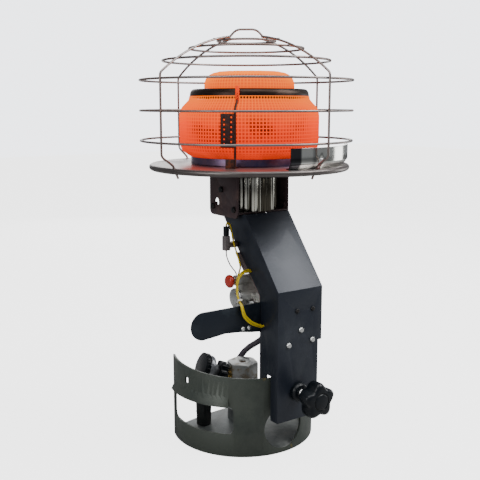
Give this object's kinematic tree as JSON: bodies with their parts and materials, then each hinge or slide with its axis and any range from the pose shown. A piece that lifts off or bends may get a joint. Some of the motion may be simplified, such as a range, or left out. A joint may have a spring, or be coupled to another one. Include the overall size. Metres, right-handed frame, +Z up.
{
  "type": "portable propane heater",
  "caption": "Radiant gas heater with a glowing mesh drum in a domed wire guard, on a bent steel casing that a star knob clamps to a cylinder's collar.",
  "frame": {"origin": "middle of the space that the whole takes up, at the collar's lower rim", "axes": "+Z up, the casing and its star knob face -Y"},
  "size_m": [0.2954, 0.3114, 0.5727],
  "materials": {
    "guard_wire": "satin",
    "plate_steel": "satin",
    "tinted_steel": "satin",
    "hot_mesh": "satin",
    "band_steel": "satin",
    "scaled_steel": "matte",
    "chrome": "polished",
    "bracket_paint": "satin",
    "throat_aluminium": "polished",
    "black_fasteners": "satin",
    "bright_fasteners": "satin",
    "casing_paint": "satin",
    "support_steel": "satin",
    "arm_paint": "satin",
    "zinc_cast": "satin",
    "red_plastic": "gloss",
    "switch_grey": "matte",
    "black_plastic": "matte",
    "yellow_sleeve": "satin",
    "grey_sleeve": "satin",
    "white_nylon": "matte",
    "collar_paint": "satin",
    "crown_paint": "satin",
    "brass": "satin",
    "stained_brass": "matte",
    "regulator_zinc": "satin",
    "black_rubber": "matte",
    "hose_rubber": "matte"
  },
  "bodies": {
    "heater": {"guard_upright_1": "guard_wire", "guard_upright_2": "guard_wire", "guard_upright_3": "guard_wire", "guard_upright_4": "guard_wire", "guard_ring_1": "guard_wire", "guard_ring_2": "guard_wire", "guard_ring_3": "guard_wire", "guard_ring_4": "guard_wire", "guard_ring_5": "guard_wire", "guard_ring_6": "guard_wire", "guard_loop": "guard_wire", "deflector_plate": "plate_steel", "burner_base": "tinted_steel", "inner_burner_tube": "hot_mesh", "emitter_drum": "hot_mesh", "emitter_band": "band_steel", "emitter_dome": "hot_mesh", "pilot_shield": "scaled_steel", "probe_rod": "scaled_steel", "probe_bracket": "scaled_steel", "reflector_shield": "chrome", "head_bracket": "bracket_paint", "bracket_screws": "black_fasteners", "burner_throat": "throat_aluminium", "mixing_tube": "throat_aluminium", "gas_jet": "brass", "gas_pipe": "throat_aluminium", "neck_plate": "bracket_paint", "front_cover": "casing_paint", "cover_screws": "bright_fasteners", "cover_rivets": "black_fasteners", "support_plate": "support_steel", "side_arm": "arm_paint", "arm_screws": "bright_fasteners", "valve_body": "zinc_cast", "valve_flange": "bright_fasteners", "magnet_nut": "bright_fasteners", "button_spring": "bright_fasteners", "tilt_switch": "switch_grey", "tilt_switch_cap": "black_plastic", "yellow_leads": "yellow_sleeve", "grey_lead": "grey_sleeve", "lead_tie": "white_nylon", "clamp_boss": "black_plastic", "collar": "collar_paint", "crown_plate": "crown_paint", "valve_neck": "brass", "valve_block": "zinc_cast", "valve_plug": "stained_brass", "brass_outlet": "brass", "regulator_body": "regulator_zinc", "regulator_leg": "black_rubber", "gas_hose": "hose_rubber"},
    "clamp_pad": {"clamp_pad": "zinc_cast"},
    "clamp_screw": {"clamp_knob": "black_plastic"},
    "light_button": {"valve_button": "red_plastic"},
    "regulator_tap": {"regulator_ring": "black_plastic"},
    "union_nut": {"hand_nut": "black_plastic"}
  },
  "joints": [
    {"name": "clamp_slide", "type": "slide", "parent": "heater", "child": "clamp_pad", "axis": [0, -1, 0], "range_m": [0, 0.01]},
    {"name": "clamp_turn", "type": "hinge", "parent": "clamp_pad", "child": "clamp_screw", "pos_m": [0.005, -0.1, 0.092], "axis": [0, -1, 0], "range_deg": [0, 2400]},
    {"name": "button_push", "type": "slide", "parent": "heater", "child": "light_button", "axis": [1, 0, 0], "range_m": [0, 0.005], "stiffness_N_per_m": 400, "springref_m": -0.002, "deforming": ["button_spring"]},
    {"name": "tap_turn", "type": "hinge", "parent": "heater", "child": "regulator_tap", "pos_m": [-0.0024, 0.01311, 0.075], "axis": [-0.8977, 0.2322, 0.3746], "range_deg": [0, 270]},
    {"name": "nut_turn", "type": "hinge", "parent": "heater", "child": "union_nut", "pos_m": [-0.0024, 0.01311, 0.075], "axis": [-0.8977, 0.2322, 0.3746], "continuous": true}
  ],
  "couplings": [
    {"joint": "clamp_slide", "follows": "clamp_turn", "m_per_rad": 0.00023873}
  ]
}
